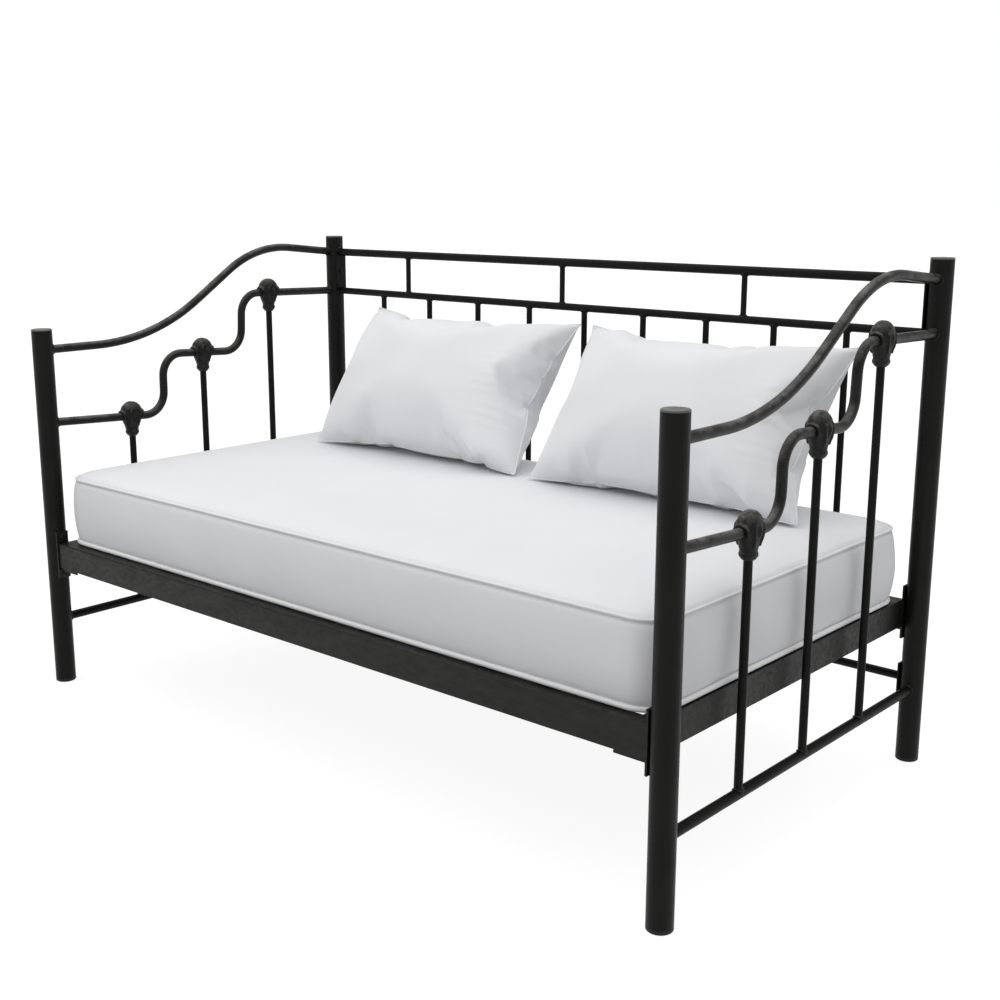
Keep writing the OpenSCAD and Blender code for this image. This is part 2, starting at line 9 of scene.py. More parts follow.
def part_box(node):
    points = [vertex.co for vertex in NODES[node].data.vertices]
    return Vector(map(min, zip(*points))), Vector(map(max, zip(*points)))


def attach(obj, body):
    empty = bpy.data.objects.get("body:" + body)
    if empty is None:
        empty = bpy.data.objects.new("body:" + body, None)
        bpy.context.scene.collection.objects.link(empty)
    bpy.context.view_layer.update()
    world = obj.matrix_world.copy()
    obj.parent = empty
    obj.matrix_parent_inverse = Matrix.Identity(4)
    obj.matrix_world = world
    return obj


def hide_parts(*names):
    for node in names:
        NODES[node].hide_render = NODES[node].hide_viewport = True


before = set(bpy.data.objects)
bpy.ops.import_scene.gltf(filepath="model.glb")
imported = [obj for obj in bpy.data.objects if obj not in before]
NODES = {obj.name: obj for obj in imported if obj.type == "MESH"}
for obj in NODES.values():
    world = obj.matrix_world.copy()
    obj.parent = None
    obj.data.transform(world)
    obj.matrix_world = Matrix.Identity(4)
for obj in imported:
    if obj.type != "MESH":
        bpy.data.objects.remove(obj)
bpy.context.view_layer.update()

# ---- places taken from the frame -------------------------------------------

SIDES = {"left": -1, "right": 1}
CASTINGS = (1, 2, 3)


def middle(node):
    low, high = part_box(node)
    return (low + high) / 2


def size(node):
    low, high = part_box(node)
    return high - low


POST_R = size("post_front_left").x / 2
HALF_X = middle("post_front_right").x
HALF_Y = middle("post_rear_right").y
RAIL_R = size("crossbar_left").x / 2
BACK_RAIL_R = size("back_bottom_rail").y / 2


def end_height(node, at_front):
    """Height of a bent rail's axis where it meets its front or rear post."""
    verts = [v.co for v in NODES[node].data.vertices]
    pick = min if at_front else max
    end_y = pick(v.y for v in verts)
    near = [v.z for v in verts if abs(v.y - end_y) < 2 * RAIL_R]
    return (min(near) + max(near)) / 2


ARM_FRONT_Z = end_height("arm_rail_right", True)
WAVE_FRONT_Z = end_height("wave_rail_right", True)
BACK_TOP_Z = middle("back_top_rail").z
BACK_MID_Z = middle("back_middle_rail").z


# ---- camera, floor and lights ----------------------------------------------

LENS = 49.32
LENS_SHIFT = (0.0068, -0.0012)
CAMERA_PLACE = (2.2645, -2.4317, 1.3281)
CAMERA_DIP = 12.802
CAMERA_ROLL = -0.085
CAMERA_HEADING = 41.323
FLOOR_HALF = 60
FLOOR_DROP = 0.0005
FLOOR_GREY = 0.18
FLOOR_GLOW = 0.88


def make_camera():
    data = bpy.data.cameras.new("camera")
    data.sensor_width = 36
    data.lens = LENS
    data.shift_x, data.shift_y = LENS_SHIFT
    data.clip_end = 100
    camera = bpy.data.objects.new("camera", data)
    bpy.context.scene.collection.objects.link(camera)
    camera.location = CAMERA_PLACE
    angles = (90 - CAMERA_DIP, CAMERA_ROLL, CAMERA_HEADING)
    camera.rotation_euler = [math.radians(angle) for angle in angles]
    bpy.context.scene.camera = camera


def make_floor():
    bm = bmesh.new()
    bmesh.ops.create_grid(bm, x_segments=8, y_segments=8, size=FLOOR_HALF)
    floor = new_object("floor", bm)
    material, nodes, links, shader = new_material("floor_paint")
    shader.inputs["Base Color"].default_value = (*grey(FLOOR_GREY), 1)
    shader.inputs["Roughness"].default_value = 0.9
    shader.inputs["Emission Color"].default_value = (1, 1, 1, 1)
    shader.inputs["Emission Strength"].default_value = FLOOR_GLOW
    floor.data.materials.append(material)
    floor.location.z = -FLOOR_DROP
    floor.visible_diffuse = False


def area_light(name, place, target, width, height, power):
    data = bpy.data.lights.new(name, "AREA")
    data.shape = "RECTANGLE"
    data.size = width
    data.size_y = height
    data.energy = power
    lamp = bpy.data.objects.new(name, data)
    bpy.context.scene.collection.objects.link(lamp)
    lamp.location = place
    lamp.rotation_euler = (Vector(target) - Vector(place)).to_track_quat("-Z", "Y").to_euler()


# Heights on the studio's dome, from -1 straight down to 1 straight up, and the brightness at each
DOME = ((-0.14, 0.40), (-0.08, 1.0), (0.16, 1.0), (0.30, 0.26), (0.60, 0.42), (0.84, 1.75))


def make_lights():
    """A white band near the horizon, dim walls and a bright ceiling, with one soft lamp in front."""
    world = bpy.data.worlds.new("studio")
    world.use_nodes = True
    nodes, links = world.node_tree.nodes, world.node_tree.links
    height = nodes.new("ShaderNodeSeparateXYZ")
    links.new(nodes.new("ShaderNodeTexCoord").outputs["Generated"], height.inputs["Vector"])
    share = nodes.new("ShaderNodeMapRange")
    share.inputs["From Min"].default_value = -1
    links.new(height.outputs["Z"], share.inputs["Value"])
    dome = nodes.new("ShaderNodeValToRGB")
    elements = dome.color_ramp.elements
    while len(elements) < len(DOME):
        elements.new(0.5)
    for element, (z, bright) in zip(elements, DOME):
        element.position = (z + 1) / 2
        element.color = (*grey(bright), 1)
    links.new(share.outputs["Result"], dome.inputs["Fac"])
    links.new(dome.outputs["Color"], nodes["Background"].inputs["Color"])
    bpy.context.scene.world = world
    bpy.context.scene.view_settings.view_transform = "Standard"
    area_light("key", place=(-1.8, -2.8, 3.4), target=(0, 0, 0.5), width=2.6, height=1.8, power=22)


# ---- mesh helpers ----------------------------------------------------------

def new_object(name, bm):
    mesh = bpy.data.meshes.new(name)
    bm.to_mesh(mesh)
    bm.free()
    obj = bpy.data.objects.new(name, mesh)
    bpy.context.scene.collection.objects.link(obj)
    mesh.shade_smooth()
    return obj


def grid_faces(bm, rows, close_rows=False):
    """Joins equal closed rows of vertices with quads."""
    count = len(rows[0])
    row_pairs = list(zip(rows, rows[1:])) + ([(rows[-1], rows[0])] if close_rows else [])
    for low, high in row_pairs:
        for i in range(count):
            j = (i + 1) % count
            bm.faces.new((low[i], low[j], high[j], high[i]))


def sweep(bm, points, radius, sides=12, closed=False, up=(0, 0, 1)):
    """A round tube along points. radius is one number or one per point."""
    points = [Vector(p) for p in points]
    count = len(points)
    rows = []
    for i, p in enumerate(points):
        before = points[i - 1] if closed or i else p
        after = points[(i + 1) % count] if closed or i < count - 1 else p
        along = (after - before).normalized()
        side = along.cross(Vector(up))
        if side.length < 1e-4:
            side = along.cross(Vector((1, 0, 0)))
        side.normalize()
        top = side.cross(along).normalized()
        r = radius[i] if hasattr(radius, "__len__") else radius
        rows.append([
            bm.verts.new(p + (side * math.cos(a) + top * math.sin(a)) * r)
            for a in (2 * math.pi * k / sides for k in range(sides))
        ])
    grid_faces(bm, rows, close_rows=closed)
    if not closed:
        bm.faces.new(list(reversed(rows[0])))
        bm.faces.new(rows[-1])


def smoothstep(low, high, x):
    t = min(1, max(0, (x - low) / (high - low)))
    return t * t * (3 - 2 * t)


# ---- materials -------------------------------------------------------------

def new_material(name):
    material = bpy.data.materials.new(name)
    material.use_nodes = True
    nodes = material.node_tree.nodes
    return material, nodes, material.node_tree.links, nodes["Principled BSDF"]


def add_noise(nodes, links, coordinates, scale, detail=4, roughness=0.6, stretch=(1, 1, 1)):
    mapping = nodes.new("ShaderNodeMapping")
    mapping.inputs["Scale"].default_value = stretch
    links.new(coordinates, mapping.inputs["Vector"])
    tex = nodes.new("ShaderNodeTexNoise")
    tex.inputs["Scale"].default_value = scale
    tex.inputs["Detail"].default_value = detail
    tex.inputs["Roughness"].default_value = roughness
    links.new(mapping.outputs["Vector"], tex.inputs["Vector"])
    return tex.outputs["Fac"]


def ramp(nodes, links, value, low, high, dark, light):
    """Maps value between low and high to a colour or grey between dark and light."""
    node = nodes.new("ShaderNodeValToRGB")
    node.color_ramp.elements[0].position = low
    node.color_ramp.elements[1].position = high
    node.color_ramp.elements[0].color = (*dark, 1)
    node.color_ramp.elements[1].color = (*light, 1)
    links.new(value, node.inputs["Fac"])
    return node.outputs["Color"]


def grey(v):
    return (v, v, v)


def add_bump(nodes, links, height, strength, distance, below=None):
    bump = nodes.new("ShaderNodeBump")
    bump.inputs["Strength"].default_value = strength
    bump.inputs["Distance"].default_value = distance
    links.new(height, bump.inputs["Height"])
    if below is not None:
        links.new(below, bump.inputs["Normal"])
    return bump.outputs["Normal"]


def black_metal(name, dark, light, rough, grain, grain_depth, shine, mottle=9, streak=(1, 1, 1), painted_top_highlight=None):
    """Satin black coat: cloudy wear in colour between dark and light and in the two ends of rough, and a
    fine orange-peel grain. The last argument is the colour of painted highlight streaks laid where a face
    looks up."""
    material, nodes, links, shader = new_material(name)
    place = nodes.new("ShaderNodeTexCoord").outputs["Object"]
    clouds = add_noise(nodes, links, place, mottle, 5, 0.62, streak)
    tone = ramp(nodes, links, clouds, 0.38, 0.68, dark, light)
    # Painted highlight: streaky patches on faces that look up are mixed towards a lighter colour, standing in
    # for light from above.
    if painted_top_highlight:
        facing = nodes.new("ShaderNodeSeparateXYZ")
        links.new(nodes.new("ShaderNodeNewGeometry").outputs["Normal"], facing.inputs["Vector"])
        highlight_mask = nodes.new("ShaderNodeMapRange")
        highlight_mask.inputs["From Min"].default_value = 0.15
        highlight_mask.inputs["From Max"].default_value = 0.95
        links.new(facing.outputs["Z"], highlight_mask.inputs["Value"])
        streaks = add_noise(nodes, links, place, mottle * 2.2, 6, 0.68, streak)
        highlight_spots = ramp(nodes, links, streaks, 0.42, 0.62, grey(0.22), grey(1))
        share = nodes.new("ShaderNodeMath")
        share.operation = "MULTIPLY"
        links.new(highlight_mask.outputs["Result"], share.inputs[0])
        links.new(highlight_spots, share.inputs[1])
        mix = nodes.new("ShaderNodeMix")
        mix.data_type = "RGBA"
        links.new(share.outputs["Value"], mix.inputs["Factor"])
        links.new(tone, mix.inputs["A"])
        mix.inputs["B"].default_value = (*painted_top_highlight, 1)
        tone = mix.outputs["Result"]
    links.new(tone, shader.inputs["Base Color"])
    patches = add_noise(nodes, links, place, mottle * 4.5, 4, 0.6, streak)
    gloss = ramp(nodes, links, patches, 0.3, 0.7, grey(rough[0]), grey(rough[1]))
    links.new(gloss, shader.inputs["Roughness"])
    fine = add_noise(nodes, links, place, grain, 3, 0.5)
    broad = add_noise(nodes, links, place, grain / 9, 3, 0.5)
    low = add_bump(nodes, links, broad, 0.25, grain_depth * 2)
    links.new(add_bump(nodes, links, fine, 0.5, grain_depth, low), shader.inputs["Normal"])
    shader.inputs["Specular IOR Level"].default_value = shine
    return material


def plain_fabric(name, colour, shade, weave_scale, weave_depth):
    """Plain white weave: crossed threads in the bump, with faint cloudy tone."""
    material, nodes, links, shader = new_material(name)
    place = nodes.new("ShaderNodeTexCoord").outputs["Object"]
    clouds = add_noise(nodes, links, place, 6, 3, 0.5)
    links.new(ramp(nodes, links, clouds, 0.3, 0.7, shade, colour), shader.inputs["Base Color"])
    threads = []
    for direction in ("X", "Y", "Z"):
        wave = nodes.new("ShaderNodeTexWave")
        wave.wave_type = "BANDS"
        wave.bands_direction = direction
        wave.inputs["Scale"].default_value = weave_scale
        wave.inputs["Distortion"].default_value = 1.2
        wave.inputs["Detail"].default_value = 2
        wave.inputs["Detail Scale"].default_value = 2
        links.new(place, wave.inputs["Vector"])
        threads.append(wave.outputs["Fac"])
    normal = None
    for thread in threads:
        normal = add_bump(nodes, links, thread, 0.22, weave_depth, normal)
    slub = add_noise(nodes, links, place, 160, 4, 0.6)
    normal = add_bump(nodes, links, slub, 0.3, weave_depth * 1.5, normal)
    links.new(normal, shader.inputs["Normal"])
    shader.inputs["Roughness"].default_value = 0.92
    shader.inputs["Sheen Weight"].default_value = 0.25
    shader.inputs["Sheen Roughness"].default_value = 0.5
    shader.inputs["Specular IOR Level"].default_value = 0.25
    return material


def zinc_plate():
    material, nodes, links, shader = new_material("zinc_plate")
    place = nodes.new("ShaderNodeTexCoord").outputs["Object"]
    spangle = add_noise(nodes, links, place, 220, 3, 0.5)
    links.new(ramp(nodes, links, spangle, 0.3, 0.7, (0.10, 0.10, 0.10), (0.19, 0.19, 0.185)),
              shader.inputs["Base Color"])
    links.new(ramp(nodes, links, spangle, 0.3, 0.7, grey(0.35), grey(0.55)), shader.inputs["Roughness"])
    shader.inputs["Metallic"].default_value = 0.9
    return material


# The cap, rail, casting and weld coats carry a painted highlight on their upward faces.
MATERIALS = {
    "post": black_metal(
        "post_coat", dark=(0.0045, 0.0043, 0.0039), light=(0.0085, 0.008, 0.0072), rough=(0.34, 0.48),
        grain=700, grain_depth=0.00005, shine=0.12, mottle=5),
    "cap": black_metal(
        "cap_coat", dark=(0.030, 0.029, 0.028), light=(0.060, 0.059, 0.057), rough=(0.34, 0.5),
        grain=700, grain_depth=0.00005, shine=0.8, painted_top_highlight=(0.12, 0.12, 0.12)),
    "rail": black_metal(
        "rail_coat", dark=(0.0035, 0.0033, 0.003), light=(0.012, 0.0114, 0.0103), rough=(0.24, 0.46),
        grain=600, grain_depth=0.00006, shine=0.2, mottle=10, painted_top_highlight=(0.15, 0.146, 0.138)),
    "bar": black_metal(
        "bar_coat", dark=(0.0042, 0.004, 0.0037), light=(0.008, 0.0076, 0.007), rough=(0.34, 0.5),
        grain=700, grain_depth=0.00005, shine=0.1, mottle=8),
    "deck": black_metal(
        "deck_coat", dark=(0.005, 0.0048, 0.0041), light=(0.014, 0.0133, 0.0115), rough=(0.33, 0.6),
        grain=500, grain_depth=0.00008, shine=0.22, mottle=11, streak=(1, 2.2, 2.2)),
    "casting": black_metal(
        "casting_paint", dark=(0.0035, 0.0033, 0.003), light=(0.012, 0.0114, 0.0103), rough=(0.28, 0.55),
        grain=420, grain_depth=0.00022, shine=0.2, mottle=30, painted_top_highlight=(0.13, 0.126, 0.118)),
    "weld": black_metal(
        "weld_paint", dark=(0.0045, 0.0043, 0.004), light=(0.014, 0.0133, 0.012), rough=(0.32, 0.55),
        grain=380, grain_depth=0.00018, shine=0.16, mottle=40, painted_top_highlight=(0.06, 0.058, 0.054)),
    "plastic": black_metal(
        "glide_plastic", dark=(0.008, 0.008, 0.008), light=(0.012, 0.012, 0.012), rough=(0.5, 0.65),
        grain=500, grain_depth=0.00004, shine=0.25),
    "zinc": zinc_plate(),
    "mattress": plain_fabric(
        "mattress_cover", colour=(0.745, 0.75, 0.765), shade=(0.725, 0.73, 0.745),
        weave_scale=190, weave_depth=0.00012),
    "piping": plain_fabric(
        "piping_cover", colour=(0.78, 0.785, 0.79), shade=(0.76, 0.765, 0.77),
        weave_scale=260, weave_depth=0.0001),
    "pillow": plain_fabric(
        "pillow_cover", colour=(0.77, 0.775, 0.79), shade=(0.745, 0.75, 0.765),
        weave_scale=230, weave_depth=0.0001),
}


def cad_look(node):
    """The key in MATERIALS of a CAD node that stays in view."""
    if node == "foot_glides":
        return "plastic"
    if node == "threaded_inserts":
        return "zinc"
    if node == "post_caps":
        return "cap"
    if node.startswith("post_"):
        return "post"
    if node.startswith(("arm_rail", "wave_rail")):
        return "rail"
    if node.startswith(("deck_", "corner_", "bracket_", "bolts")):
        return "deck"
    return "bar"


def paint_cad():
    for name, obj in NODES.items():
        obj.data.materials.clear()
        obj.data.materials.append(MATERIALS[cad_look(name)])


def finish_piece(obj, look, body, slot, *replaced):
    obj.data.materials.clear()
    obj.data.materials.append(MATERIALS[look])
    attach(obj, body)
    if replaced:
        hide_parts(*replaced)
    return obj


# ---- shared shaping --------------------------------------------------------

def mesh_piece(name, bm, look, body, slot, *replaced, subdivide=0):
    bmesh.ops.recalc_face_normals(bm, faces=bm.faces)
    obj = new_object(name, bm)
    if subdivide:
        obj.modifiers.new("smooth", "SUBSURF").levels = subdivide
        obj.modifiers["smooth"].render_levels = subdivide
    return finish_piece(obj, look, body, slot, *replaced)


def baked(obj):
    """The object's mesh with its modifiers applied, as a fresh bmesh. The object is removed."""
    graph = bpy.context.evaluated_depsgraph_get()
    bm = bmesh.new()
    bm.from_mesh(obj.evaluated_get(graph).to_mesh())
    mesh = obj.data
    bpy.data.objects.remove(obj)
    bpy.data.meshes.remove(mesh)
    return bm


# ---- castings --------------------------------------------------------------

CAST_HALF_LEN = 0.033
CAST_HALF_WIDTH = 0.024
CAST_SHOULDER = 0.009
CAST_NECK_R = 0.0172
CAST_COLLAR_R = 0.0188
CAST_NECK_RISE = 0.0165
# Rise above the casting's foot and radius of each ring of the collar and its chamfer
CAST_COLLAR = (
    (0.0155, CAST_COLLAR_R), (0.012, CAST_COLLAR_R + 0.0003), (0.0085, CAST_COLLAR_R - 0.0004),
    (0.004, 0.0150), (0.0, 0.0115))
CAST_NOTCH_TOP = 0.0157
CAST_SIDES = 48
CAST_STEPS = 12
CAST_VOXEL = 0.0013
CAST_SEED = Vector((3.1, 7.7, 1.3))


def casting_profile(foot):
    """Heights and the two half widths of the knuckle, from its dome down to the chamfered foot."""
    rows = []
    for k in range(1, CAST_STEPS + 1):
        a = math.pi / 2 * k / CAST_STEPS
        rise = CAST_HALF_LEN * math.cos(a)
        rows.append((CAST_SHOULDER + rise, CAST_HALF_LEN * math.sin(a),
                     CAST_HALF_WIDTH * math.sin(a) ** 0.85))
    neck_z = foot + CAST_NECK_RISE
    for k in range(1, CAST_STEPS + 1):
        t = k / CAST_STEPS
        ease = 0.45 * t + 0.55 * smoothstep(0.1, 1, t)
        rows.append((CAST_SHOULDER + (neck_z - CAST_SHOULDER) * t,
                     CAST_HALF_LEN + (CAST_NECK_R - CAST_HALF_LEN) * ease,
                     CAST_HALF_WIDTH + (CAST_NECK_R - CAST_HALF_WIDTH) * ease))
    for rise, r in CAST_COLLAR:
        rows.append((foot + rise, r, r))
    return rows


def casting_body(bm, foot):
    top = bm.verts.new((0, 0, CAST_SHOULDER + CAST_HALF_LEN))
    rows = []
    for z, half_len, half_width in casting_profile(foot):
        row = []
        for k in range(CAST_SIDES):
            a = 2 * math.pi * k / CAST_SIDES
            notch = 1.0
            if z < foot + CAST_NOTCH_TOP:
                notch = 1 - 0.055 * max(0, math.cos(6 * a)) ** 6
            row.append(bm.verts.new((half_width * notch * math.cos(a), half_len * notch * math.sin(a), z)))
        rows.append(row)
    grid_faces(bm, rows)
    for k in range(CAST_SIDES):
        bm.faces.new((top, rows[0][(k + 1) % CAST_SIDES], rows[0][k]))
    bm.faces.new(list(reversed(rows[-1])))


def casting_relief(bm):
    """A hood over the rail at each end, and on each broad face an upturned U around a leaf."""
    for sy in (-1, 1):
        arc = [math.radians(a) for a in range(-40, 221, 10)]
        hood = [((RAIL_R + 0.0035) * math.cos(a), sy * (0.0285 + 0.003 * math.sin(a)),
                 (RAIL_R + 0.0045) * math.sin(a)) for a in arc]
        thick = [0.0044 * (0.35 + 0.65 * smoothstep(-0.75, 0.2, math.sin(a))) for a in arc]
        sweep(bm, hood, thick, 10)
    for sx in (-1, 1):
        legs = [(0.0095 + 0.006 * k / 6, -0.026 + 0.030 * k / 6) for k in range(6)]
        bow = [(0.0155 * math.cos(math.radians(a)), 0.006 + 0.0175 * math.sin(math.radians(a)))
               for a in range(0, 91, 10)]
        half = legs + bow
        outline = half + [(-y, z) for y, z in reversed(half[:-1])]
        ridge = []
        for y, z in outline:
            swell = math.sqrt(max(0.1, 1 - (y / CAST_HALF_LEN) ** 2))
            fall = 1 - 0.26 * smoothstep(0, 0.03, -z) - 0.30 * smoothstep(0.010, 0.030, z)
            ridge.append((sx * CAST_HALF_WIDTH * swell * fall, y, z))
        sweep(bm, ridge, 0.0034, 10, up=(1, 0, 0))
        along = [k / 4 - 1 for k in range(9)]
        leaf = [(sx * (0.0215 - 0.0035 * t ** 2), 0.0, 0.004 + 0.015 * t) for t in along]
        thick = [0.0012 + 0.0046 * math.sqrt(1 - t ** 2) for t in along]
        sweep(bm, leaf, thick, 10, up=(0, 1, 0))


def casting_shape(foot):
    """One knuckle, fused and softened the way a sand casting is."""
    bm = bmesh.new()
    casting_body(bm, foot)
    casting_relief(bm)
    bmesh.ops.recalc_face_normals(bm, faces=bm.faces)
    rough = new_object("casting_rough", bm)
    fuse = rough.modifiers.new("fuse", "REMESH")
    fuse.mode = "VOXEL"
    fuse.voxel_size = CAST_VOXEL
    soften = rough.modifiers.new("soften", "SMOOTH")
    soften.factor = 0.5
    soften.iterations = 4
    bm = baked(rough)
    bm.normal_update()
    for v in bm.verts:
        lump = noise.noise(v.co * 95 + CAST_SEED) * 0.00055 + noise.noise(v.co * 330 + CAST_SEED) * 0.00022
        v.co += v.normal * lump
    return bm


def casting_middle(side, i):
    """The point where the rail's axis passes through the casting."""
    low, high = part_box(f"casting_{side}_{i}")
    spindle = middle(f"end_spindle_{side}_{i}")
    return Vector((spindle.x, spindle.y, high.z - CAST_SHOULDER - CAST_HALF_LEN))


def make_castings():
    foot = (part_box("casting_left_1")[0] - casting_middle("left", 1)).z
    shape = casting_shape(foot)
    for side in SIDES:
        for i in CASTINGS:
            node = f"casting_{side}_{i}"
            bm = shape.copy()
            bm.transform(Matrix.Translation(casting_middle(side, i)))
            mesh_piece(f"knuckle_{side}_{i}", bm, "casting", "frame", "black_casting", node)
    shape.free()


# ---- welds -----------------------------------------------------------------

WELD_STEPS = 28
END_BEAD = 0.0030
BAR_BEAD = 0.0026
SPINDLE_BEAD = 0.0022
POST_BEAD = 0.0032
BACK_SPINDLES = range(1, 10)
SHORT_SPINDLES = range(1, 4)


def weld_ring(bm, place, along, out, wall_r, tube_r, bead, seed):
    """A bead where a tube of radius tube_r, pointing along out, meets a tube of radius wall_r."""
    along, out = Vector(along), Vector(out)
    side = along.cross(out)
    ring_r = tube_r + 0.35 * bead
    ring, thick = [], []
    for k in range(WELD_STEPS):
        a = 2 * math.pi * k / WELD_STEPS
        across = ring_r * math.sin(a)
        reach = math.sqrt(max(0, wall_r * wall_r - across * across)) + 0.2 * bead
        ring.append(Vector(place) + along * (ring_r * math.cos(a)) + side * across + out * reach)
        ripple = noise.noise(Vector((k * 0.9, seed, 0.4)))
        thick.append(bead * (1 + 0.28 * ripple) if k else bead)
    sweep(bm, ring, thick, 8, closed=True, up=out)


def end_welds(side):
    bm = bmesh.new()
    x = SIDES[side] * HALF_X
    front_y, rear_y = middle("post_front_" + side).y, middle("post_rear_" + side).y
    z_up = (0, 0, 1)
    cross_z = middle("crossbar_" + side).z
    rails = (
        (ARM_FRONT_Z, BACK_TOP_Z, END_BEAD),
        (WAVE_FRONT_Z, BACK_MID_Z, END_BEAD),
        (cross_z, cross_z, BAR_BEAD))
    for k, (front_z, rear_z, bead) in enumerate(rails):
        weld_ring(bm, (x, front_y, front_z), z_up, (0, 1, 0), POST_R, RAIL_R, bead, 2.3 * k + x)
        weld_ring(bm, (x, rear_y, rear_z), z_up, (0, -1, 0), POST_R, RAIL_R, bead, 5.1 * k + x)
    for i in CASTINGS:
        spindle = middle(f"end_spindle_{side}_{i}")
        weld_ring(bm, (x, spindle.y, cross_z), (0, 1, 0), z_up, RAIL_R,
                  size(f"end_spindle_{side}_{i}").x / 2, BAR_BEAD, i * 3.7 + x)
    mesh_piece("welds_" + side, bm, "weld", "frame", "black_metal")


def back_welds():
    bm = bmesh.new()
    x_axis, up, down = (1, 0, 0), (0, 0, 1), (0, 0, -1)
    bottom_z = middle("back_bottom_rail").z
    for i in BACK_SPINDLES:
        spindle, r = middle(f"back_spindle_{i}"), size(f"back_spindle_{i}").x / 2
        weld_ring(bm, (spindle.x, HALF_Y, bottom_z), x_axis, up, BACK_RAIL_R, r, SPINDLE_BEAD, i * 1.7)
        weld_ring(bm, (spindle.x, HALF_Y, BACK_MID_Z), x_axis, down, BACK_RAIL_R, r, SPINDLE_BEAD, i * 2.9)
    for i in SHORT_SPINDLES:
        spindle, r = middle(f"short_spindle_{i}"), size(f"short_spindle_{i}").x / 2
        weld_ring(bm, (spindle.x, HALF_Y, BACK_MID_Z), x_axis, up, BACK_RAIL_R, r, SPINDLE_BEAD, i * 4.1)
        weld_ring(bm, (spindle.x, HALF_Y, BACK_TOP_Z), x_axis, down, RAIL_R, r, SPINDLE_BEAD, i * 5.3)
    for sx in (-1, 1):
        for z, r in ((BACK_TOP_Z, RAIL_R), (BACK_MID_Z, BACK_RAIL_R)):
            weld_ring(bm, (sx * HALF_X, HALF_Y, z), up, (-sx, 0, 0), POST_R, r, POST_BEAD, z * 9 + sx)
    mesh_piece("welds_back", bm, "weld", "frame", "black_metal")


# ---- front angle rail of the deck ------------------------------------------

DECK_RAIL_EDGE = 0.0032
DECK_RAIL_WAVE = 0.0005
DECK_RAIL_STEPS = 90


def deck_rail_section(node):
    """The angle's outline (in from the outer face, up), with its outer top edge rounded."""
    low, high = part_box(node)
    wide, tall = high.y - low.y, high.z - low.z
    wall = min(abs(v.co.y - low.y) for v in NODES[node].data.vertices if v.co.y - low.y > 1e-4)
    arc = [(DECK_RAIL_EDGE * (1 - math.cos(a)), tall - DECK_RAIL_EDGE * (1 - math.sin(a)))
           for a in (math.radians(15 * k) for k in range(7))]
    return [(0, 0), (0, tall / 3), (0, 2 * tall / 3)] + arc + [
        (wide, tall), (wide, tall - wall), (wall, tall - wall), (wall, 0)]


def make_front_rail():
    node = "deck_rail_front"
    low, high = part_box(node)
    bm = bmesh.new()
    rows = []
    for k in range(DECK_RAIL_STEPS + 1):
        x = low.x + (high.x - low.x) * k / DECK_RAIL_STEPS
        reach = DECK_RAIL_WAVE * smoothstep(0, 0.04, min(x - low.x, high.x - x))
        row = []
        for inset, up in deck_rail_section(node):
            wave = reach * noise.noise(Vector((x * 6, up * 9, 3.1)))
            row.append(bm.verts.new((x, low.y + inset + wave, low.z + up)))
        rows.append(row)
    grid_faces(bm, rows)
    bm.faces.new(rows[0])
    bm.faces.new(rows[-1])
    rail = mesh_piece("front_angle_rail", bm, "deck", "frame", "black_metal", node)
    rail.data.set_sharp_from_angle(angle=math.radians(40))


# ---- mattress --------------------------------------------------------------

MATTRESS_LOW, MATTRESS_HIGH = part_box("mattress")
MATTRESS_HALF_X = (MATTRESS_HIGH.x - MATTRESS_LOW.x) / 2
MATTRESS_HALF_Y = (MATTRESS_HIGH.y - MATTRESS_LOW.y) / 2
MATTRESS_MIDDLE_Y = (MATTRESS_HIGH.y + MATTRESS_LOW.y) / 2
MATTRESS_CORNER = 0.064
TOP_SEAM_DROP = 0.027
FOOT_SEAM_RISE = 0.0075
SIDE_BULGE = 0.011
# Rise of the top and the distance in which it builds up, near the edge and over the whole top
EDGE_CROWN = (0.0225, 0.030)
BROAD_CROWN = (0.0048, 0.30)
TUCK_DEPTH = 0.0048
TUCK_MIDDLE = 0.0055
TUCK_WIDTH = 0.0032
MATTRESS_PITCH = 0.022
EDGE_STEPS = (0.0, 0.002, 0.0045, 0.007, 0.010, 0.015, 0.023, 0.035, 0.05, 0.068)
SIDE_RIMS = (0, 0.017, 0.034, 0.055, 0.085, 0.13)
MATTRESS_SEED = Vector((11.3, 4.2, 0.7))


def rounded_corner(x, y):
    """Moves a point of the mattress's rectangle into the same rectangle with round corners."""
    core_x, core_y = MATTRESS_HALF_X - MATTRESS_CORNER, MATTRESS_HALF_Y - MATTRESS_CORNER
    u, v = (abs(x) - core_x) / MATTRESS_CORNER, (abs(y) - core_y) / MATTRESS_CORNER
    if u <= 0 or v <= 0:
        return x, y
    return (math.copysign(core_x + MATTRESS_CORNER * u * math.sqrt(1 - v * v / 2), x),
            math.copysign(core_y + MATTRESS_CORNER * v * math.sqrt(1 - u * u / 2), y))


def edge_distance(x, y):
    """Distance in from the mattress's outline, and the outward direction there."""
    qx = abs(x) - (MATTRESS_HALF_X - MATTRESS_CORNER)
    qy = abs(y) - (MATTRESS_HALF_Y - MATTRESS_CORNER)
    inset = MATTRESS_CORNER - math.hypot(max(qx, 0), max(qy, 0)) - min(max(qx, qy), 0)
    if qx > 0 and qy > 0:
        out = Vector((math.copysign(qx, x), math.copysign(qy, y), 0)).normalized()
    elif qx > qy:
        out = Vector((math.copysign(1, x), 0, 0))
    else:
        out = Vector((0, math.copysign(1, y), 0))
    return inset, out


def spaced(half, edge_steps, pitch):
    """Grid lines from -half to half, close together near the ends."""
    inner = half - edge_steps[-1]
    count = max(2, round(2 * inner / pitch))
    middle_lines = [-inner + 2 * inner * k / count for k in range(count + 1)]
    rims = [half - step for step in edge_steps[:-1]]
    return [-r for r in rims] + middle_lines + list(reversed(rims))


